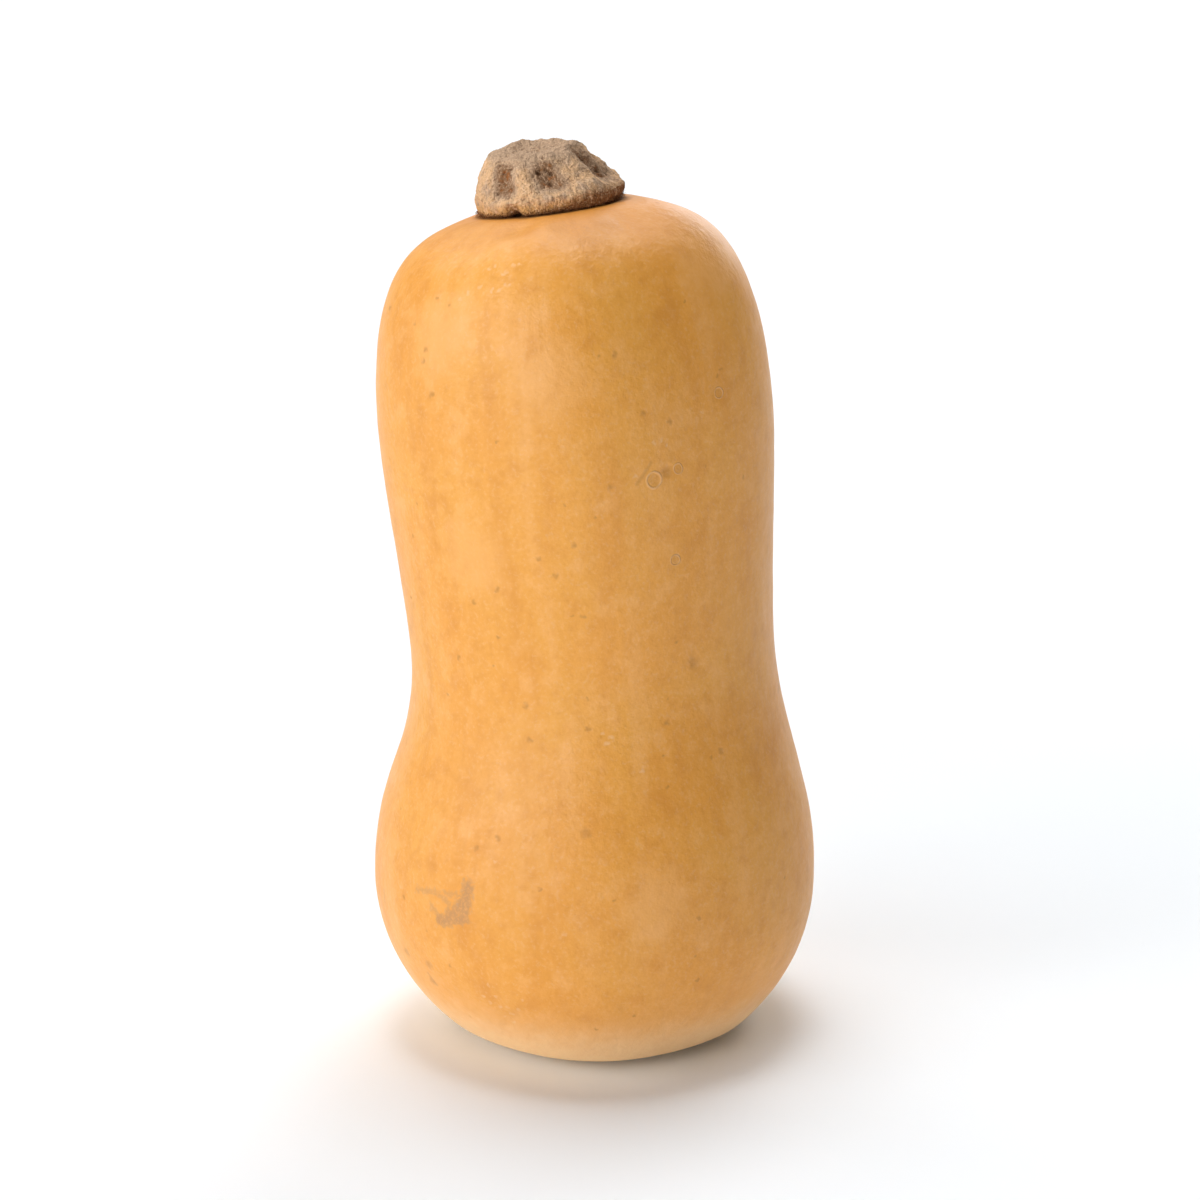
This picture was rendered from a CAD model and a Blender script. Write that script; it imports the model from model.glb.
import math

import bpy
import numpy as np
from mathutils import Matrix, Vector
from mathutils.bvhtree import BVHTree


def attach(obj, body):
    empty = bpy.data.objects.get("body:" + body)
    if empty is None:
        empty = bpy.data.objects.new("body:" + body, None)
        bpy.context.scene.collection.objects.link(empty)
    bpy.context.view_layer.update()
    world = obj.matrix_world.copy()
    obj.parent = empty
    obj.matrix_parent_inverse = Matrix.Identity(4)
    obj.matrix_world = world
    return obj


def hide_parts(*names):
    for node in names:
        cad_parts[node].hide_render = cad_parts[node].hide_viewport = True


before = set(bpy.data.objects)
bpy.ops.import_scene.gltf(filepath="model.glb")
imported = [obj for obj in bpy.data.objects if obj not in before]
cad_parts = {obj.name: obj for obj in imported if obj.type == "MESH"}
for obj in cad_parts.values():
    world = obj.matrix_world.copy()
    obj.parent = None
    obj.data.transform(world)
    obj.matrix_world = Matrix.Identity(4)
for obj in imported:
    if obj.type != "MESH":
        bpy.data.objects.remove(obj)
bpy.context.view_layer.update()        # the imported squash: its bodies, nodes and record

# A butternut squash, dressed. Sizes are millimetres, as in the part's source.
mm = 0.001
perMetre = 1000.0  # over a size in millimetres, this is the scale of a texture whose cells have that size
degree = math.radians(1.0)

# Camera, first, because the marks on the rind are placed through it
cameraSettings = {
    "photoSide": 1200,  # pixels
    "fieldOfView": 24.0,  # degrees, over that side
    "elevation": 14.0,
    "distance": 700.0,
    "aim": (0.4, 0.0, 109.8),
}


def cameraFrame():
    # eye, right, up and forward, in metres
    tilt = math.radians(cameraSettings["elevation"])
    forward = Vector((0, math.cos(tilt), -math.sin(tilt)))
    right = Vector((1, 0, 0))
    eye = Vector(cameraSettings["aim"]) * mm - forward * cameraSettings["distance"] * mm
    return eye, right, right.cross(forward), forward


def makeCamera():
    eye, right, up, forward = cameraFrame()
    lens = bpy.data.cameras.new("camera")
    lens.sensor_width = 36.0
    lens.angle = math.radians(cameraSettings["fieldOfView"])
    camera = bpy.data.objects.new("camera", lens)
    turn = Matrix((right, up, -forward)).transposed()
    camera.matrix_world = Matrix.Translation(eye) @ turn.to_4x4()
    bpy.context.scene.collection.objects.link(camera)
    bpy.context.scene.camera = camera


def behindPixel(surface, pixel):
    # the point of a surface that shows at a pixel of the photo
    eye, right, up, forward = cameraFrame()
    half = cameraSettings["photoSide"] / 2
    reach = math.tan(math.radians(cameraSettings["fieldOfView"]) / 2)
    across = (pixel[0] - half) / half * reach
    above = (half - pixel[1]) / half * reach
    hit = surface.ray_cast(eye, (forward + right * across + up * above).normalized())
    if hit[0] is None:
        raise ValueError(f"nothing of the squash shows at pixel {pixel}")
    return hit[0]


# One socket of a node tree. Arithmetic on it adds Math nodes, and node() adds any other node.
class Wire:
    def __init__(self, tree, socket=None):
        self.tree = tree
        self.socket = socket

    def node(self, kind, settings=None, values=None, output=0):
        made = self.tree.nodes.new(kind)
        for key, value in (settings or {}).items():
            setattr(made, key, value)
        for key, value in (values or {}).items():
            if isinstance(value, Wire):
                self.tree.links.new(value.socket, made.inputs[key])
            else:
                made.inputs[key].default_value = value
        return Wire(self.tree, made.outputs[output])

    def math(self, operation, *values):
        return self.node("ShaderNodeMath", {"operation": operation}, dict(enumerate(values)))

    def vector(self, operation, *values, output=0):
        return self.node("ShaderNodeVectorMath", {"operation": operation}, dict(enumerate(values)), output)

    def __add__(self, other):
        return self.math("ADD", self, other)

    def __radd__(self, other):
        return self.math("ADD", other, self)

    def __sub__(self, other):
        return self.math("SUBTRACT", self, other)

    def __rsub__(self, other):
        return self.math("SUBTRACT", other, self)

    def __mul__(self, other):
        return self.math("MULTIPLY", self, other)

    def __rmul__(self, other):
        return self.math("MULTIPLY", other, self)

    def __truediv__(self, other):
        return self.math("DIVIDE", self, other)

    def __rtruediv__(self, other):
        return self.math("DIVIDE", other, self)

    def __pow__(self, other):
        return self.math("POWER", self, other)

    def least(self, other):
        return self.math("MINIMUM", self, other)

    def most(self, other):
        return self.math("MAXIMUM", self, other)

    def size(self):
        return self.math("ABSOLUTE", self)

    def cos(self):
        return self.math("COSINE", self)

    def sin(self):
        return self.math("SINE", self)

    def rise(self, low, high):
        # smoothly from 0 at low to 1 at high
        return self.node("ShaderNodeMapRange", {"interpolation_type": "SMOOTHSTEP"},
                         {"Value": self, "From Min": low, "From Max": high})

    def fall(self, low, high):
        # smoothly from 1 at low to 0 at high
        return 1.0 - self.rise(low, high)

    def scaled(self, x, y, z):
        return self.vector("MULTIPLY", self, (x, y, z))

    def noise(self, scale, detail=2.0, roughness=0.5, seed=0.0, output=0):
        # a seed that is a wire drives a fourth dimension, which costs more; a number moves the pattern
        texture = {"Scale": scale, "Detail": detail, "Roughness": roughness}
        if isinstance(seed, Wire):
            return self.node("ShaderNodeTexNoise", {"noise_dimensions": "4D"},
                             {"Vector": self, "W": seed, **texture}, output)
        return self.node("ShaderNodeTexNoise", None, {"Vector": self.moved(seed), **texture}, output)

    def cells(self, scale, seed):
        # the distance to the nearest of many scattered points
        return self.node("ShaderNodeTexVoronoi", None, {"Vector": self.moved(seed), "Scale": scale})

    def moved(self, seed):
        # to another part of the pattern
        return self.vector("ADD", self, (0.37 * seed, 0.53 * seed, 0.71 * seed))

    def attribute(self, name):
        # a number that the mesh carries
        return self.node("ShaderNodeAttribute", {"attribute_name": name}, output=2)

    def mix(self, share, other):
        # this colour, changed to another by a share
        return self.node("ShaderNodeMix", {"data_type": "RGBA"}, {0: share, 6: self, 7: other}, 2)


# Geometry trees: named inputs, one modifier, baked to a plain mesh
def startTree(name, settings):
    tree = bpy.data.node_groups.new(name, "GeometryNodeTree")
    tree.interface.new_socket("Geometry", in_out="INPUT", socket_type="NodeSocketGeometry")
    tree.interface.new_socket("Geometry", in_out="OUTPUT", socket_type="NodeSocketGeometry")
    for key, value in settings.items():
        kind = "NodeSocketInt" if isinstance(value, int) else "NodeSocketFloat"
        tree.interface.new_socket(key, in_out="INPUT", socket_type=kind)
    start = tree.nodes.new("NodeGroupInput")
    inputs = {key: Wire(tree, start.outputs[key]) for key in settings}
    return Wire(tree, start.outputs["Geometry"]), inputs


def endTree(shape, material):
    real = shape.node("GeometryNodeRealizeInstances", None, {"Geometry": shape})
    painted = shape.node("GeometryNodeSetMaterial", None, {"Geometry": real, "Material": material})
    end = shape.tree.nodes.new("NodeGroupOutput")
    shape.tree.links.new(painted.socket, end.inputs[0])


def attribute(shape, name, kind="FLOAT"):
    return shape.node("GeometryNodeInputNamedAttribute", {"data_type": kind}, {"Name": name})


def keep(shape, name, value):
    # stores a number on every point for the material
    return shape.node("GeometryNodeStoreNamedAttribute", {"data_type": "FLOAT", "domain": "POINT"},
                      {"Geometry": shape, "Name": name, "Value": value})


def place(shape, x, y, z):
    # x, y and z are millimetres
    spot = shape.node("ShaderNodeCombineXYZ", None, {"X": x * mm, "Y": y * mm, "Z": z * mm})
    return shape.node("GeometryNodeSetPosition", None, {"Geometry": shape, "Position": spot})


def swellOut(shape, amount):
    # moves every point along its normal by an amount in millimetres
    normal = shape.node("GeometryNodeInputNormal")
    offset = normal.vector("SCALE", normal)
    offset.tree.links.new((amount * mm).socket, offset.socket.node.inputs["Scale"])
    return shape.node("GeometryNodeSetPosition", None, {"Geometry": shape, "Offset": offset})


def bake(piece, shape, settings):
    # runs the tree that shape belongs to on the piece, and keeps the result as its mesh
    modifier = piece.modifiers.new("growth", "NODES")
    modifier.node_group = shape.tree
    for item in shape.tree.interface.items_tree:
        if item.in_out == "INPUT" and item.name in settings:
            modifier[item.identifier] = settings[item.name]
    graph = bpy.context.evaluated_depsgraph_get()
    made = bpy.data.meshes.new_from_object(piece.evaluated_get(graph), preserve_all_data_layers=True,
                                           depsgraph=graph)
    piece.modifiers.clear()
    piece.data = made
    made.name = piece.name
    made.polygons.foreach_set("use_smooth", [True] * len(made.polygons))
    return piece


# Outlines, turned on a lathe
grainPitch = 50.0  # millimetres along the skin that count as one in the grain's third number


def curve(start, startHandle, endHandle, end, step):
    # a cubic curve without its first point
    points = np.array([start, startHandle, endHandle, end], float)
    count = max(3, round(np.linalg.norm(points[3] - points[0]) / step))
    t = np.linspace(0, 1, count + 1)[1:, None]
    return ((1 - t) ** 3 * points[0] + 3 * t * (1 - t) ** 2 * points[1]
            + 3 * t ** 2 * (1 - t) * points[2] + t ** 3 * points[3])


def straight(start, end, step):
    # a straight line without its first point
    count = max(2, round(math.dist(start, end) / step))
    t = np.linspace(0, 1, count + 1)[1:, None]
    return np.array(start) * (1 - t) + np.array(end) * t


def turned(name, outline, around):
    # a closed mesh in metres whose points know their angle, height and radius in the outline
    rings = outline[1:-1]  # the outline's ends are the poles
    angle = np.tile(np.arange(around) * 2 * math.pi / around, len(rings))
    angle = np.concatenate([[0.0], angle, [0.0]])
    radius = np.concatenate([[0.0], np.repeat(rings[:, 0], around), [0.0]])
    height = np.concatenate([[outline[0, 1]], np.repeat(rings[:, 1], around), [outline[-1, 1]]])
    spots = np.stack([radius * np.cos(angle), radius * np.sin(angle), height], 1) * mm
    faces = []
    for ring in range(len(rings) - 1):
        low = 1 + ring * around
        for i in range(around):
            j = (i + 1) % around
            faces.append((low + i, low + j, low + around + j, low + around + i))
    last = 1 + (len(rings) - 1) * around
    top = len(spots) - 1
    for i in range(around):
        j = (i + 1) % around
        faces.append((0, 1 + j, 1 + i))
        faces.append((top, last + i, last + j))
    mesh = bpy.data.meshes.new(name)
    mesh.from_pydata(spots.tolist(), [], faces)
    for key, values in {"angle": angle, "height": height, "radius": radius}.items():
        stored = mesh.attributes.new(key, "FLOAT", "POINT")
        stored.data.foreach_set("value", values.astype(np.float32))
    # directions that run round and up the skin, for streaks that follow it
    run = np.concatenate([[0], np.cumsum(np.hypot(*np.diff(outline, axis=0).T))])
    along = np.concatenate([[run[0]], np.repeat(run[1:-1], around), [run[-1]]])
    grain = np.stack([np.cos(angle), np.sin(angle), along / grainPitch], 1)
    stored = mesh.attributes.new("grain", "FLOAT_VECTOR", "POINT")
    stored.data.foreach_set("vector", grain.astype(np.float32).ravel())
    piece = bpy.data.objects.new(name, mesh)
    bpy.context.scene.collection.objects.link(piece)
    return piece


# Fruit: stations of its outline, as radius, height and how far the curve's handles reach
fruitStations = {
    "rest": {"radius": 14.0, "run": 8.0},
    "heel": {"radius": 38.7, "height": 4.0, "slope": 43.0, "below": 4.0, "above": 7.6},
    "bulb": {"radius": 55.3, "height": 41.0, "below": 19.0, "above": 26.3},
    "waist": {"radius": 45.1, "height": 101.4, "below": 27.0, "above": 8.0},
    "shoulder": {"radius": 47.8, "height": 154.0, "below": 9.7, "above": 34.4},
    "crown": {"radius": 15.9, "height": 207.0, "run": 23.6},
    "around": 344,  # points in each ring
    "step": 1.0,  # between rings
    "crown step": 0.8,
}

# How it grows out of that outline. Angles are degrees.
fruitGrowth = {
    "settle height": 4.0,
    "bulb height": fruitStations["bulb"]["height"],
    "bulb shift": -1.5,
    "bulb bend": -3.0, "bulb bend from": 31.0, "bulb bend blend": 12.0,
    "neck bend": 7.2, "neck bend from": 74.0, "neck bend blend": 12.0,
    "crown bend": 3.2, "crown bend from": 170.0, "crown bend blend": 8.0,
    "lobes": 5.0, "lobe angle": -91.5,
    "lobe in bulb": 0.4, "lobe in waist": 0.3, "lobe in shoulder": 0.8,
    "waist height": fruitStations["waist"]["height"],
    "shoulder height": fruitStations["shoulder"]["height"],
    "unevenness": 0.2, "swell fade radius": 30.0,
    "furrow depth": 1.3, "furrow radius": 30.0, "furrow width": 10.0,
    "dish radius": 20.0, "dish depth": 1.2,
    "undulation": 0.22, "undulation size": 16.0,
    "dimples": 0.07, "dimple size": 5.0,
    "relief height": 6.0,  # where the relief is full, above the ground
    "covered radius": 17.0, "open radius": 24.0, "crown from": 150.0,  # where it fades under the stem
    "blossom scar depth": 1.0, "blossom scar radius": 5.0,
    "collar radius": 19.1, "collar from": 190.0, "collar fray": 2.4, "collar fray size": 1.8,
    "patch size": 26.0, "cloud size": 7.0, "mottle size": 3.0,
    "streaks round": 7.0, "streak stretch": 0.14,
    "seed": 3.0,
}

# Slow waves that make it uneven: how many go round, where they start, their pitch in mm and their share
fruitWaves = [
    {"count": 2.0, "start": 1.1, "pitch": 41.0, "share": 1.0},
    {"count": 3.0, "start": -0.7, "pitch": -57.0, "share": 1.0},
    {"count": 4.0, "start": 2.3, "pitch": 33.0, "share": 0.7},
]


def fruitOutline():
    rest, heel, bulb, waist, shoulder, crown = (
        fruitStations[key] for key in ("rest", "heel", "bulb", "waist", "shoulder", "crown"))
    step = fruitStations["step"]
    slope = math.radians(heel["slope"])
    turn = np.array([math.cos(slope), math.sin(slope)])
    heelAt = np.array([heel["radius"], heel["height"]])
    bulbAt = np.array([bulb["radius"], bulb["height"]])
    waistAt = np.array([waist["radius"], waist["height"]])
    shoulderAt = np.array([shoulder["radius"], shoulder["height"]])
    crownAt = np.array([crown["radius"], crown["height"]])
    up = np.array([0.0, 1.0])
    out = np.array([1.0, 0.0])
    return np.concatenate([
        [(0.0, 0.0)],
        straight((0, 0), (rest["radius"], 0), step),
        curve((rest["radius"], 0), (rest["radius"] + rest["run"], 0),
              heelAt - heel["below"] * turn, heelAt, step),
        curve(heelAt, heelAt + heel["above"] * turn, bulbAt - bulb["below"] * up, bulbAt, step),
        curve(bulbAt, bulbAt + bulb["above"] * up, waistAt - waist["below"] * up, waistAt, step),
        curve(waistAt, waistAt + waist["above"] * up,
              shoulderAt - shoulder["below"] * up, shoulderAt, step),
        curve(shoulderAt, shoulderAt + shoulder["above"] * up,
              crownAt + crown["run"] * out, crownAt, fruitStations["crown step"]),
        straight(crownAt, (0, crown["height"]), step),
    ])


def growthLine(height, g):
    # middle of the fruit and its lean at a height, from the tree's named inputs
    settled = height.rise(0.0, g["settle height"])
    below = (1.0 - height / g["bulb height"]).most(0.0)
    x = g["bulb shift"] * (1.0 - below * below)
    lean = height * 0.0
    for part in ("bulb", "neck", "crown"):
        bend = g[f"{part} bend"] * degree
        past = (height - g[f"{part} bend from"]) / g[f"{part} bend blend"]
        grown = past.math("EXPONENT", past)
        softened = past.math("LOGARITHM", grown + 1.0, math.e)
        x = x - bend.math("TANGENT", bend) * g[f"{part} bend blend"] * softened
        lean = lean + bend * grown / (grown + 1.0)
    return x * settled, lean * settled


def ripple(spot, size, detail, seed):
    # a noise about zero, from -1 to 1
    return (spot.noise(perMetre / size, detail, 0.4, seed) - 0.5) * 2.0


def growFruit(material):
    shape, g = startTree("fruit growth", fruitGrowth)
    angle, height, radius = (attribute(shape, key) for key in ("angle", "height", "radius"))
    x, lean = growthLine(height, g)
    lobe = ((angle - g["lobe angle"] * degree) * g["lobes"]).cos()
    toWaist = height.rise(g["bulb height"], g["waist height"])
    toShoulder = height.rise(g["waist height"], g["shoulder height"])
    depth = (g["lobe in bulb"] + (g["lobe in waist"] - g["lobe in bulb"]) * toWaist
             + (g["lobe in shoulder"] - g["lobe in waist"]) * toShoulder)
    uneven = 0.0
    for wave in fruitWaves:
        phase = angle * wave["count"] + wave["start"] + height / wave["pitch"]
        uneven = uneven + phase.sin() * wave["share"]
    fade = (radius / g["swell fade radius"]).least(1.0)
    reach = radius + fade * (depth * lobe + g["unevenness"] * uneven)
    share = ((radius / g["dish radius"]).least(1.0) * (math.pi / 2)).cos()
    off = (radius - g["furrow radius"]) / g["furrow width"]
    ring = (1.0 - off * off).most(0.0)
    sunk = g["dish depth"] * share * share + g["furrow depth"] * ring * ring * (0.5 - lobe * 0.5)
    sunk = sunk * height.math("GREATER_THAN", height, g["shoulder height"])
    across = reach * angle.cos()
    shape = place(shape, x + across * lean.cos() + sunk * lean.sin(), reach * angle.sin(),
                  height + across * lean.sin() - sunk * lean.cos())
    # relief, left out of the flat that it stands on and from under the stem
    spot = shape.node("GeometryNodeInputPosition")
    bare = radius.rise(g["covered radius"], g["open radius"])
    bare = bare.most(height.fall(g["crown from"], g["crown from"] + 10.0))
    free = height.rise(0.0, g["relief height"]) * bare
    relief = (ripple(spot, g["undulation size"], 1.5, g["seed"]) * g["undulation"]
              + ripple(spot, g["dimple size"], 1.0, g["seed"] + 5.0) * g["dimples"])
    scar = (radius / g["blossom scar radius"]).fall(0.3, 1.0) * height.fall(0.5, 1.0)
    fray = spot.noise(perMetre / g["collar fray size"], 2.0, 0.6, g["seed"] + 8.0) * g["collar fray"]
    collar = (radius + fray).fall(g["collar radius"] - 0.6, g["collar radius"] + 1.4)
    collar = collar * height.rise(g["collar from"], g["collar from"] + 10.0)
    shape = keep(shape, "collar", collar.most(scar))
    # patterns of the skin that are coarser than its mesh
    grain = attribute(shape, "grain", "FLOAT_VECTOR")
    for key, size, detail in (("patches", "patch size", 1.5), ("clouds", "cloud size", 3.0),
                              ("mottle", "mottle size", 1.5)):
        shape = keep(shape, key, spot.noise(perMetre / g[size], detail, 0.6, g["seed"] + detail))
    stretched = shape.node("ShaderNodeCombineXYZ", None, {"X": 1.0, "Y": 1.0, "Z": g["streak stretch"]})
    streaks = grain.vector("MULTIPLY", grain, stretched).noise(g["streaks round"], 3.0, 0.6, g["seed"])
    shape = keep(shape, "streaks", streaks)
    shape = swellOut(shape, relief * free - scar * g["blossom scar depth"])
    endTree(shape, material)
    return shape


# Dents that show on the front: the pixel of the photo, the radius and the depth in mm
rindDents = [
    (520, 226, 7.5, 0.9), (566, 229, 5.0, 0.35), (598, 222, 6.0, -0.35), (628, 1007, 3.0, 0.4),
    (718, 393, 1.9, 0.30), (667, 471, 2.2, 0.35), (654, 480, 2.3, 0.15), (692, 661, 3.0, 0.15),
    (508, 1006, 2.6, -0.25), (518, 1016, 2.4, 0.25), (497, 1000, 2.4, 0.25), (760, 1000, 9.0, 0.5),
]


def surfaceOf(piece):
    return BVHTree.FromPolygons([v.co for v in piece.data.vertices],
                                [p.vertices for p in piece.data.polygons])


def makeFruit(material):
    fruit = turned("fruitRind", fruitOutline(), fruitStations["around"])
    bake(fruit, growFruit(material), fruitGrowth)
    mesh, skin = fruit.data, surfaceOf(fruit)
    spots = np.empty(len(mesh.vertices) * 3)
    normals = np.empty(len(mesh.vertices) * 3, np.float32)
    mesh.vertices.foreach_get("co", spots)
    mesh.vertex_normals.foreach_get("vector", normals)
    spots, normals = spots.reshape(-1, 3), normals.reshape(-1, 3)
    moved = spots.copy()
    for x, y, radius, depth in rindDents:
        far = np.linalg.norm(spots - np.array(behindPixel(skin, (x, y))), axis=1) / (radius * mm)
        moved -= normals * (depth * mm * np.cos(np.minimum(far, 1) * math.pi / 2) ** 2)[:, None]
    mesh.vertices.foreach_set("co", moved.ravel())
    mesh.update()
    return fruit


# Stem: the same outline as the part's, with its hollows, and a cork relief on top
stemStations = {
    "seat gap": 0.3,
    "seat step": 1.2,
    "foot": {"radius": 16.9, "flare": 0.2},
    "flange": {"radius": 17.9, "height": 4.4, "overhang": 0.3, "below": 1.6, "run": 2.0},
    "rim": {"radius": 11.3, "height": 14.8, "run": 2.6, "round": 1.0},
    "pith sink": 1.1,
    "around": 336,
    "step": 0.3,
}
# Its hollows: angles round the stem from the front, and millimetres
stemHollows = [
    {"at": -40.0, "wide": 22.0, "deep": 2.7, "lip": 4.4, "at rim": 0.15},
    {"at": 7.0, "wide": 25.0, "deep": 3.1, "lip": 5.0, "at rim": 0.2},
    {"at": 77.0, "wide": 34.0, "deep": 5.0, "lip": 4.6, "at rim": 0.65},
    {"at": 133.0, "wide": 24.0, "deep": 3.0, "lip": 4.2, "at rim": 0.6},
    {"at": 176.0, "wide": 30.0, "deep": 3.4, "lip": 4.4, "at rim": 0.4},
    {"at": 234.0, "wide": 28.0, "deep": 2.8, "lip": 4.2, "at rim": 0.5},
]
stemGrowth = {
    "flange height": stemStations["flange"]["height"],
    "rim height": stemStations["rim"]["height"],
    "rim radius": stemStations["rim"]["radius"],
    "seat gap": stemStations["seat gap"],
    "lip rise": 3.4, "foot notch": 0.25,
    "top shift": -2.1, "top fall": 0.02, "front fall": 0.11,
    "relief from": 1.4, "relief full": 3.4,
    "crags": 2.0, "crag size": 3.4,
    "crumbs": 0.8, "crumb size": 1.5,
    "fibres": 1.0, "fibres round": 15.0,
    "pits": 1.0, "pit size": 2.4,
    "top break": 1.9, "top break size": 3.0,
    "cleft angle": 240.5, "cleft depth": 1.2, "cleft top": 6.0,
    "seed": 11.0,
}


def seatHeight(radius):
    # the crown's dish under the stem, from the stem's own base
    share = math.cos(math.pi / 2 * min(1.0, radius / fruitGrowth["dish radius"]))
    return fruitGrowth["dish depth"] * (1 - share * share)


def stemOutline():
    gap, step = stemStations["seat gap"], stemStations["step"]
    foot, flange, rim = stemStations["foot"], stemStations["flange"], stemStations["rim"]
    low = seatHeight(foot["radius"]) + gap
    top = rim["height"] + rim["round"]
    pith = top - stemStations["pith sink"]
    across = np.arange(0.0, foot["radius"], stemStations["seat step"])
    footAt = (foot["radius"], low)
    flangeAt = (flange["radius"], flange["height"])
    rimAt = np.array([rim["radius"], rim["height"]])
    corner = np.array([rim["radius"] - rim["round"], top])
    topAt = np.array([rim["radius"] - 3 * rim["round"], top])
    return np.concatenate([
        [(radius, seatHeight(radius) + gap) for radius in across],
        [footAt],
        curve(footAt, (flange["radius"] - flange["overhang"], low + foot["flare"]),
              (flange["radius"], flange["height"] - flange["below"]), flangeAt, step),
        curve(flangeAt, (flange["radius"], flange["height"] + flange["run"]),
              (rim["radius"] + rim["run"], rim["height"] - rim["run"]), rimAt, step * 0.75),
        curve(rimAt, (rimAt + 2 * corner) / 3, (topAt + 2 * corner) / 3, topAt, step),
        curve(topAt, (rim["radius"] / 2, top), (rim["radius"] / 3, pith), (0, pith), step),
    ])


def crownPlace(height):
    # the growth line's middle and lean, in numbers, where the stem stands
    x, lean = fruitGrowth["bulb shift"], 0.0
    for part in ("bulb", "neck", "crown"):
        bend = math.radians(fruitGrowth[f"{part} bend"])
        blend = fruitGrowth[f"{part} bend blend"]
        past = (height - fruitGrowth[f"{part} bend from"]) / blend
        x -= math.tan(bend) * blend * math.log1p(math.exp(past))
        lean += bend / (1 + math.exp(-past))
    return x, lean


def growStem(material):
    shape, g = startTree("stem growth", stemGrowth)
    angle, height, radius = (attribute(shape, key) for key in ("angle", "height", "radius"))
    cut = height * 0.0
    inHollow = height * 0.0
    for hollow in stemHollows:
        middle = math.radians(hollow["at"] - 90.0)
        apart = (angle - middle).math("WRAP", angle - middle, math.pi, -math.pi)
        off = (apart.size() / math.radians(hollow["wide"])).least(1.0)
        across = (off * (math.pi / 2)).cos() ** 2.0
        deepest = g["lip rise"] + hollow["lip"]
        into = height.rise(hollow["lip"], deepest)
        out = 1.0 - (1.0 - hollow["at rim"]) * height.rise(deepest, g["rim height"])
        foot = g["foot notch"] * height.fall(g["seat gap"], hollow["lip"])
        cut = cut.most(hollow["deep"] * across * (foot + into * out))
        inHollow = inHollow.most(across * into)
    share = (radius / g["rim radius"]).least(1.0)
    reach = radius - cut * share * share
    across = reach * angle.cos()
    up = height.rise(g["flange height"], g["rim height"])
    localX = across + g["top shift"] * up
    localY = reach * angle.sin()
    localZ = height - (g["top fall"] * across - g["front fall"] * localY) * up
    # the stem stands square to the fruit's growth line, in the bottom of the crown's dish
    crown, dish = fruitStations["crown"]["height"], fruitGrowth["dish depth"]
    middle, lean = crownPlace(crown)
    baseX = middle + dish * math.sin(lean)
    baseZ = crown - dish * math.cos(lean)
    shape = keep(shape, "hollow", inHollow)
    shape = place(shape, localX * math.cos(lean) - localZ * math.sin(lean) + baseX, localY,
                  localX * math.sin(lean) + localZ * math.cos(lean) + baseZ)
    # cork relief: crags, crumbs and pits, and fibres that run up the side
    spot = shape.node("GeometryNodeInputPosition")
    grain = attribute(shape, "grain", "FLOAT_VECTOR")
    onTop = height.rise(g["rim height"] - 1.5, g["rim height"] + 0.4)
    crags = (spot.noise(perMetre / g["crag size"], 3.0, 0.55, g["seed"]) - 0.5) * g["crags"]
    crumbs = (spot.noise(perMetre / g["crumb size"], 3.0, 0.65, g["seed"] + 2.0) - 0.5) * g["crumbs"]
    fibres = grain.scaled(1.0, 1.0, 0.5).noise(g["fibres round"], 2.0, 0.6, g["seed"] + 4.0)
    fibres = (fibres - 0.5) * g["fibres"] * (1.0 - onTop)
    pits = spot.cells(perMetre / g["pit size"], 4.0).fall(0.1, 0.42) * g["pits"] * (inHollow * 0.8 + 0.2)
    broken = spot.noise(perMetre / g["top break size"], 4.0, 0.6, g["seed"] + 6.0)
    broken = (broken - 0.5) * g["top break"] * onTop
    relief = (crags + crumbs + fibres - pits + broken) * height.rise(g["relief from"], g["relief full"])
    shape = keep(shape, "relief", relief)
    # a cleft in the front of the foot
    cleft = (angle - g["cleft angle"] * degree).size().fall(0.02, 0.17)
    cleft = cleft * height.rise(0.4, 1.2) * height.fall(g["cleft top"] * 0.4, g["cleft top"])
    relief = relief - cleft * g["cleft depth"]
    shape = keep(shape, "cleft", cleft)
    shape = keep(shape, "patchy", spot.noise(perMetre / g["crag size"], 2.0, 0.6, g["seed"] + 8.0))
    shape = keep(shape, "flakes", spot.noise(perMetre / g["crumb size"], 3.0, 0.7, g["seed"] + 9.0))
    shape = keep(shape, "fibre", grain.scaled(1.0, 1.0, 0.4).noise(22.0, 3.0, 0.65, g["seed"]))
    shape = swellOut(shape, relief)
    endTree(shape, material)
    return shape


def makeStem(material):
    stem = turned("stemCork", stemOutline(), stemStations["around"])
    return bake(stem, growStem(material), stemGrowth)


# Short brown hairs where the stem's foot meets the rind
fibreGrowth = {
    "length": 1.6, "thickness": 0.15, "per square mm": 5.0,
    "from height": 0.25, "to height": 2.4, "from radius": 15.0,
    "seed": 5,
}


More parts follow.
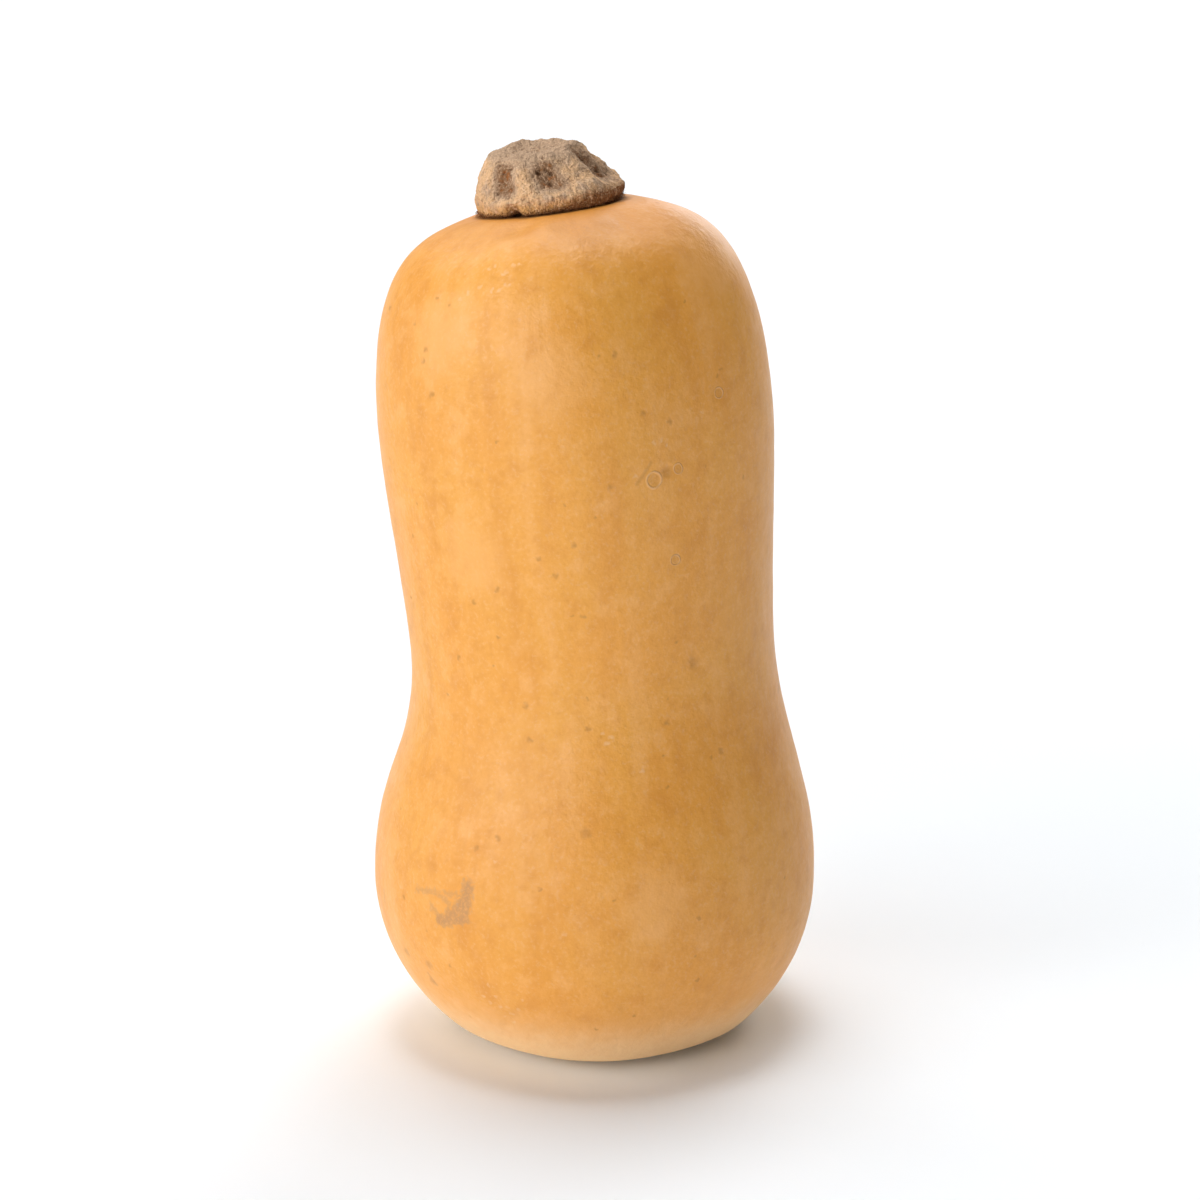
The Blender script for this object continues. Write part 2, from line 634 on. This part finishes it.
def makeFibres(stem, material):
    shape, g = startTree("fibre growth", fibreGrowth)
    height, radius = attribute(shape, "height"), attribute(shape, "radius")
    band = height.math("GREATER_THAN", height, g["from height"])
    band = band * height.math("LESS_THAN", height, g["to height"])
    band = band * radius.math("GREATER_THAN", radius, g["from radius"])
    scattered = shape.node("GeometryNodeDistributePointsOnFaces", {"distribute_method": "RANDOM"},
                           {"Mesh": shape, "Selection": band, "Density": g["per square mm"] * 1e6,
                            "Seed": g["seed"]})
    facing = Wire(shape.tree, scattered.socket.node.outputs["Normal"])
    stray = shape.node("FunctionNodeRandomValue", {"data_type": "FLOAT_VECTOR"},
                       {0: (-0.8, -0.8, -0.9), 1: (0.8, 0.8, 0.3), "Seed": g["seed"]})
    turn = shape.node("FunctionNodeAlignRotationToVector", {"axis": "Z"},
                      {"Vector": facing.vector("ADD", facing, stray)})
    hair = shape.node("GeometryNodeMeshCone", None,
                      {"Vertices": 3, "Radius Top": 0.0, "Radius Bottom": g["thickness"] * mm / 2,
                       "Depth": g["length"] * mm})
    size = shape.node("FunctionNodeRandomValue", None, {2: 0.4, 3: 1.0, "Seed": g["seed"] + 1.0}, 1)
    hairs = shape.node("GeometryNodeInstanceOnPoints", None,
                       {"Points": scattered, "Instance": hair, "Rotation": turn, "Scale": size})
    endTree(hairs, material)
    fibres = bpy.data.objects.new("stemFibres", stem.data.copy())
    bpy.context.scene.collection.objects.link(fibres)
    return bake(fibres, hairs, fibreGrowth)


# Marks on the front of the rind, each by the pixel of the photo that it shows at, or a line's two ends
rindMarks = {
    "blushes": [(704, 258), (548, 378), (436, 335), (655, 905), (470, 560)],
    "specks": [
        (390, 308), (425, 350), (423, 361), (643, 413), (611, 487), (574, 546), (538, 559), (555, 576),
        (498, 590), (474, 602), (583, 617), (459, 658), (530, 740), (667, 723), (498, 839), (476, 849),
        (588, 729), (721, 751), (670, 421), (404, 897), (526, 706), (614, 355), (432, 395),
    ],
    "dots": [
        (449, 306), (436, 299), (415, 324), (721, 370), (565, 505), (595, 518), (413, 536), (572, 616),
        (411, 597), (498, 637), (493, 666), (448, 695), (587, 699), (668, 698), (663, 757), (668, 788),
        (450, 966), (695, 956), (614, 901), (596, 1029), (785, 877), (743, 478), (635, 1015), (540, 890),
    ],
    "smudges": [(667, 471), (692, 661), (586, 833), (694, 664), (407, 952), (429, 965), (433, 981)],
    "flecks": [
        (490, 268), (495, 267), (506, 272), (503, 274), (513, 266), (519, 265), (480, 287), (492, 291),
        (499, 290), (505, 286), (509, 285), (469, 293), (460, 299), (654, 443), (662, 440), (667, 444),
        (635, 477), (678, 556), (702, 413), (603, 733), (611, 738), (607, 744), (495, 862), (564, 934),
        (508, 1008), (514, 1022), (522, 1000), (457, 905), (401, 887), (643, 770), (488, 985),
        (496, 996), (500, 1006), (491, 1004), (505, 1016), (512, 1014), (519, 1010), (483, 996),
    ],
    "rings": [(654, 480)],
    "smallRings": [(678, 469), (718, 393), (675, 560)],
    "slits": [
        (651, 463, 645, 473), (645, 473, 637, 484), (428, 973, 437, 985), (779, 682, 778, 692),
        (395, 948, 402, 960), (384, 890, 385, 902),
    ],
    "corkScar": [(468, 885, 464, 918), (462, 904, 449, 917), (461, 920, 440, 920)],
    "corkTrail": [(461, 895, 417, 889), (450, 904, 436, 893), (441, 918, 431, 906)],
}
markSizes = {  # radius, or half the width of a line
    "blushes": 11.0, "specks": 0.8, "dots": 0.5, "smudges": 1.4, "flecks": 0.72,
    "rings": 2.0, "smallRings": 1.3, "slits": 0.35, "corkScar": 1.5, "corkTrail": 0.8,
}
rindLook = {
    "wanderSize": 1.2, "wander": 1.3,  # how the edges of small marks stray
    "grainSize": 0.9, "speckSpacing": 12.0,
    "patches": 0.6, "streaks": 0.42, "brownClouds": 0.45, "pinkClouds": 0.48,
    "brownMottle": 0.32, "pinkMottle": 0.34, "brownGrain": 0.22, "paleGrain": 0.17,
    "paleFoot": 0.9, "brownCrown": 0.6, "blushes": 0.5,
    "specks": 0.55, "smudges": 0.4, "flecks": 0.55, "slits": 0.3, "scar": 0.8, "collar": 0.85,
    "roughness": 0.37,
    "wrinkles": 0.24, "wrinkleSize": 2.0, "ringHeight": 0.16,
}
rindColours = {
    "ochre": (0.775, 0.334, 0.055, 1),
    "yellow": (0.790, 0.372, 0.067, 1),
    "brown": (0.645, 0.252, 0.036, 1),
    "pink": (0.855, 0.420, 0.130, 1),
    "pale": (0.850, 0.560, 0.330, 1),
    "ground": (1.0, 0.690, 0.370, 1),
    "speck": (0.400, 0.160, 0.032, 1),
    "corkScar": (0.480, 0.250, 0.110, 1),
    "collar": (0.200, 0.085, 0.022, 1),
}


def farFrom(kind, spot, skin):
    # how far the nearest mark of a kind is, counted in its radius
    found = None
    for mark in rindMarks[kind]:
        start = behindPixel(skin, mark[:2])
        nearest = start
        if len(mark) == 4:
            run = behindPixel(skin, mark[2:]) - start
            along = spot.vector("DOT_PRODUCT", spot.vector("SUBTRACT", spot, start), run, output=1)
            share = (along / run.length_squared).least(1.0).most(0.0)
            foot = spot.node("ShaderNodeVectorMath", {"operation": "SCALE"}, {0: run, "Scale": share})
            nearest = foot.vector("ADD", foot, start)
        apart = spot.vector("DISTANCE", spot, nearest, output=1)
        found = apart if found is None else found.least(apart)
    return found / (markSizes[kind] * mm)


def fillRind(material, skin):
    tree = material.node_tree
    shader = tree.nodes["Principled BSDF"]
    tools = Wire(tree)
    tone, look = rindColours, rindLook
    spot = tools.node("ShaderNodeTexCoord", output=3)
    height = spot.node("ShaderNodeSeparateXYZ", None, {0: spot}, 2) / mm
    stray = spot.noise(perMetre / look["wanderSize"], 0.0, 0.5, 4.0, 1)
    stray = stray.vector("SUBTRACT", stray, (0.5, 0.5, 0.5))
    wander = look["wander"] * mm
    near = spot.vector("ADD", spot, stray.scaled(wander, wander, wander))

    # the skin's own colour: patches, streaks along the growth, cloudy mottling and a fine grain
    patches, clouds, mottle, streaks, collar = (
        tools.attribute(key) for key in ("patches", "clouds", "mottle", "streaks", "collar"))
    fine = spot.noise(perMetre / look["grainSize"], 2.0, 0.6, 3.0)
    ochre = tools.node("ShaderNodeRGB")
    ochre.socket.default_value = tone["ochre"]
    colour = ochre.mix(patches.rise(0.35, 0.7) * look["patches"], tone["yellow"])
    colour = colour.mix(streaks.rise(0.5, 0.72) * look["streaks"], tone["brown"])
    colour = colour.mix(streaks.fall(0.3, 0.5) * look["streaks"], tone["pink"])
    colour = colour.mix(clouds.rise(0.52, 0.72) * look["brownClouds"], tone["brown"])
    colour = colour.mix(clouds.fall(0.3, 0.47) * look["pinkClouds"], tone["pink"])
    colour = colour.mix(mottle.rise(0.5, 0.72) * look["brownMottle"], tone["brown"])
    colour = colour.mix(mottle.fall(0.28, 0.5) * look["pinkMottle"], tone["pink"])
    colour = colour.mix(fine.rise(0.5, 0.75) * look["brownGrain"], tone["brown"])
    colour = colour.mix(fine.fall(0.25, 0.5) * look["paleGrain"], tone["pale"])

    # paler near the ground, deeper on the crown, and pink where it blushes
    low = (height + clouds * 14.0 - 7.0).fall(2.0, 32.0)
    colour = colour.mix(low * look["paleFoot"], tone["pink"])
    lowest = (height + mottle * 6.0 - 3.0).fall(2.0, 21.0)
    colour = colour.mix(lowest * look["paleFoot"], tone["ground"])
    crown = fruitStations["crown"]["height"]
    highest = (height + clouds * 8.0 - 4.0).rise(crown - 10.0, crown)
    colour = colour.mix(highest * look["brownCrown"], tone["brown"])
    blush = (farFrom("blushes", spot, skin) + (clouds - 0.5) * 1.6).fall(0.3, 1.2)
    colour = colour.mix(blush * look["blushes"], tone["pink"])

    # small brown specks all round, beside those that the photo places
    strewn = near.cells(perMetre / look["speckSpacing"], 2.0).fall(0.015, 0.06) * height.rise(8.0, 20.0)
    specks = farFrom("specks", near, skin).fall(0.0, 1.4).most(farFrom("dots", near, skin).fall(0.0, 1.4))
    specks = specks.most(strewn * 0.8)
    colour = colour.mix(specks * look["specks"], tone["speck"])
    smudges = farFrom("smudges", near, skin).fall(0.0, 1.5)
    colour = colour.mix(smudges * look["smudges"], tone["speck"])

    # ring scars with a pale edge, pale flecks, slits and the frayed cork scar
    uneven = (mottle - 0.5) * 0.9
    worn = fine.rise(0.3, 0.6)
    rings = farFrom("rings", spot, skin).least(farFrom("smallRings", spot, skin)) + uneven
    ring = rings.rise(0.74, 0.93) * rings.fall(0.97, 1.15)
    colour = colour.mix(ring * (worn * 0.3 + 0.16), tone["pale"])
    colour = colour.mix(rings.fall(0.5, 0.95) * 0.16, tone["speck"])
    flecks = farFrom("flecks", near, skin).fall(0.2, 1.1) * (worn * 0.6 + 0.3)
    colour = colour.mix(flecks * look["flecks"], tone["pale"])
    slits = (farFrom("slits", spot, skin) + uneven).fall(0.2, 2.2)
    colour = colour.mix(slits * look["slits"], tone["speck"])
    frayed = (mottle - 0.5) * 1.4 + (fine - 0.5) * 2.2
    scar = (farFrom("corkScar", near, skin) + frayed).fall(0.5, 1.5)
    trail = (farFrom("corkTrail", near, skin) + frayed * 1.8).fall(0.1, 1.6)
    scarred = scar.most(trail * 0.6) * (worn * 0.45 + 0.55)
    colour = colour.mix(scarred * look["scar"], tone["corkScar"])
    colour = colour.mix(collar * look["collar"], tone["collar"])
    tree.links.new(colour.socket, shader.inputs["Base Color"])

    # waxy, and drier on marks and near the ground
    dry = scarred.most(specks * 0.5).most(flecks * 0.6).most(collar)
    roughness = clouds * 0.10 + look["roughness"] + low * 0.08 + dry * 0.3
    tree.links.new(roughness.socket, shader.inputs["Roughness"])

    # heights in millimetres: a skin of fine wrinkles, and the rings' edges
    wrinkles = spot.noise(perMetre / look["wrinkleSize"], 3.0, 0.6, 5.0) * look["wrinkles"]
    relief = wrinkles + ring * look["ringHeight"]
    bump = tools.node("ShaderNodeBump", None, {"Strength": 1.0, "Distance": mm, "Height": relief})
    tree.links.new(bump.socket, shader.inputs["Normal"])


corkColours = {
    "tan": (0.75, 0.455, 0.235, 1),
    "grey": (0.50, 0.335, 0.215, 1),
    "shade": (0.24, 0.122, 0.055, 1),
    "dark": (0.13, 0.06, 0.024, 1),
    "peach": (0.92, 0.62, 0.40, 1),
    "rust": (0.34, 0.105, 0.02, 1),
    "foot": (0.62, 0.330, 0.100, 1),
    "crevice": (0.22, 0.085, 0.024, 1),
    "hair": (0.36, 0.16, 0.055, 1),
    "darkHair": (0.14, 0.055, 0.018, 1),
}
corkLook = {
    "gritSize": 0.6, "gritHeight": 0.65,
    "creviceClimb": 3.2,  # how much higher its brown reaches on the right
    "climbFrom": -14.0, "climbTo": 2.0,  # between these places across the stem
}


def fillCork(material):
    tree = material.node_tree
    shader = tree.nodes["Principled BSDF"]
    tools = Wire(tree)
    tone, look = corkColours, corkLook
    spot = tools.node("ShaderNodeTexCoord", output=3)
    hollow, relief, height, patchy, flakes, fibre, cleft = (
        tools.attribute(key) for key in ("hollow", "relief", "height", "patchy", "flakes", "fibre", "cleft"))
    grit = spot.noise(perMetre / look["gritSize"], 1.0, 0.7, 2.0)
    rim = stemStations["rim"]["height"]
    onTop = height.rise(rim - 1.2, rim + 0.2)
    hollow = hollow * height.fall(rim - 1.4, rim + 0.2)
    ridge = hollow.fall(0.05, 0.5) * (1.0 - onTop)
    grey = tools.node("ShaderNodeRGB")
    grey.socket.default_value = tone["grey"]
    colour = grey.mix(ridge * patchy.fall(0.45, 0.68) * 0.85, tone["tan"])
    colour = colour.mix(ridge * (relief + flakes - 0.5).rise(0.1, 0.7) * 0.8, tone["peach"])
    colour = colour.mix(hollow.rise(0.25, 0.8) * (flakes.rise(0.3, 0.6) * 0.5 + 0.45), tone["shade"])
    colour = colour.mix(relief.fall(-1.0, -0.1) * 0.6, tone["dark"])
    colour = colour.mix(hollow.rise(0.5, 0.85) * flakes.rise(0.54, 0.62) * 0.65, tone["rust"])
    # ochre foot, then the brown crevice and cleft
    foot = (height + patchy * 3.0 - 1.5).fall(2.6, 5.0)
    colour = colour.mix(foot * 0.8, tone["foot"])
    across = spot.node("ShaderNodeSeparateXYZ", None, {0: spot})
    climb = across.rise(look["climbFrom"] * mm, look["climbTo"] * mm) * look["creviceClimb"]
    crevice = (height + flakes * 2.4 - 1.2 - climb).fall(0.6, 3.2)
    colour = colour.mix(crevice * 0.9, tone["crevice"])
    colour = colour.mix(cleft.rise(0.3, 1.0) * 0.7, tone["crevice"])
    # threads and grit, of which the dark grains lie in clusters
    colour = colour.mix(fibre.rise(0.53, 0.66) * 0.5 * (1.0 - onTop), tone["shade"])
    colour = colour.mix(fibre.fall(0.34, 0.46) * 0.45 * (1.0 - onTop), tone["peach"])
    clusters = flakes.rise(0.42, 0.6) * 0.35 + 0.12
    colour = colour.mix(grit.rise(0.52, 0.66) * clusters, tone["dark"])
    colour = colour.mix(grit.fall(0.34, 0.46) * (0.42 - clusters * 0.5), tone["peach"])
    tree.links.new(colour.socket, shader.inputs["Base Color"])
    relief = grit * look["gritHeight"]
    bump = tools.node("ShaderNodeBump", None, {"Strength": 1.0, "Distance": mm, "Height": relief})
    tree.links.new(bump.socket, shader.inputs["Normal"])


def fillHairs(material):
    tree = material.node_tree
    shader = tree.nodes["Principled BSDF"]
    tools = Wire(tree)
    spot = tools.node("ShaderNodeTexCoord", output=3)
    plain = tools.node("ShaderNodeRGB")
    plain.socket.default_value = corkColours["hair"]
    dark = spot.noise(perMetre / 1.5, 1.0, 0.5, 3.0).rise(0.4, 0.65)
    colour = plain.mix(dark, corkColours["darkHair"])
    tree.links.new(colour.socket, shader.inputs["Base Color"])


def newMaterial(name, constants):
    material = bpy.data.materials.new(name)
    material.use_nodes = True
    shader = material.node_tree.nodes["Principled BSDF"]
    for key, value in constants.items():
        shader.inputs[key].default_value = value
    return material


# Studio: a white floor that runs into a white backdrop, lit by broad soft lights.
# A light's azimuth is 0 on the camera's side and grows to its right; 1.0 lights a white card white.
studioSettings = {
    "floorSide": 40.0,  # metres
    "floorColour": (0.92, 0.955, 0.985, 1),
    "skyForShade": 0.03,
    "skyForEye": 1.05,
    "brightSide": (-0.45, 0.89, 0.0),  # the studio's back left, which reflects more
    "brightReflection": 0.5,
    "darkReflection": 0.1,  # of its front right
    "lights": {
        "key": {"azimuth": -66.0, "elevation": 18.0, "spread": 45.0, "strength": 0.47},
        "front": {"azimuth": -33.0, "elevation": 17.0, "spread": 45.0, "strength": 0.37},
        "top": {"azimuth": 180.0, "elevation": 83.0, "spread": 27.0, "strength": 0.40},
        "back": {"azimuth": 180.0, "elevation": 55.0, "spread": 36.0, "strength": 0.05},
        "backRight": {"azimuth": 150.0, "elevation": 55.0, "spread": 40.0, "strength": 0.11},
        "lowRight": {"azimuth": 158.0, "elevation": 22.0, "spread": 36.0, "strength": 0.29},
        "backLeft": {"azimuth": -140.0, "elevation": 55.0, "spread": 40.0, "strength": 0.23},
    },
}


def reflectionShare(direction):
    # 1 towards the studio's bright side and 0 away from it
    level = direction.scaled(1.0, 1.0, 0.0)
    level = level.vector("NORMALIZE", level)
    return level.vector("DOT_PRODUCT", level, studioSettings["brightSide"], output=1).rise(-0.7, 0.5)


def makeStudio():
    side = studioSettings["floorSide"] / 2
    bright, dark = studioSettings["brightReflection"], studioSettings["darkReflection"]
    mesh = bpy.data.meshes.new("floor")
    mesh.from_pydata([(-side, -side, 0), (side, -side, 0), (side, side, 0), (-side, side, 0)],
                     [], [(0, 1, 2, 3)])
    white = newMaterial("white floor", {
        "Base Color": studioSettings["floorColour"], "Roughness": 0.9, "Specular IOR Level": 0.0})
    mesh.materials.append(white)
    floor = bpy.data.objects.new("floor", mesh)
    bpy.context.scene.collection.objects.link(floor)
    world = bpy.data.worlds.new("studio")
    world.use_nodes = True
    sky = world.node_tree.nodes["Background"]
    sky.inputs["Color"].default_value = (1, 1, 1, 1)
    tools = Wire(world.node_tree)
    eye, shade = studioSettings["skyForEye"], studioSettings["skyForShade"]
    gloss = reflectionShare(tools.node("ShaderNodeTexCoord", output=0)) * (bright - dark) + dark
    strength = (eye - tools.node("ShaderNodeLightPath", output="Is Diffuse Ray") * (eye - shade)
                - tools.node("ShaderNodeLightPath", output="Is Glossy Ray") * (eye - gloss))
    world.node_tree.links.new(strength.socket, sky.inputs["Strength"])
    bpy.context.scene.world = world
    for name, light in studioSettings["lights"].items():
        lamp = bpy.data.lights.new(name, "SUN")
        lamp.angle = math.radians(light["spread"])
        lamp.energy = light["strength"] * math.pi
        a, e = math.radians(light["azimuth"]), math.radians(light["elevation"])
        away = Vector((math.sin(a) * math.cos(e), -math.cos(a) * math.cos(e), math.sin(e)))
        lampObject = bpy.data.objects.new(name, lamp)
        lampObject.location = away
        lampObject.rotation_euler = away.to_track_quat("Z", "Y").to_euler()
        bpy.context.scene.collection.objects.link(lampObject)
    bpy.context.scene.view_settings.view_transform = "Standard"


makeCamera()
makeStudio()
print("studio ready")

rind = newMaterial("rind", {"IOR": 1.41})
fruit = makeFruit(rind)
print("fruit grown:", len(fruit.data.polygons), "faces")
fillRind(rind, surfaceOf(fruit))
cork = newMaterial("cork", {"Roughness": 0.9, "Specular IOR Level": 0.25})
stem = makeStem(cork)
fillCork(cork)
print("stem grown:", len(stem.data.polygons), "faces")
hairs = newMaterial("hairs", {"Roughness": 0.9, "Specular IOR Level": 0.2})
fillHairs(hairs)
fibres = makeFibres(stem, hairs)
print("fibres grown:", len(fibres.data.polygons), "faces")

for piece, node, slot in ((fruit, "fruit", "rind"), (stem, "stem", "cork")):
    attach(piece, "root")
    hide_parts(node)
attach(fibres, "root")
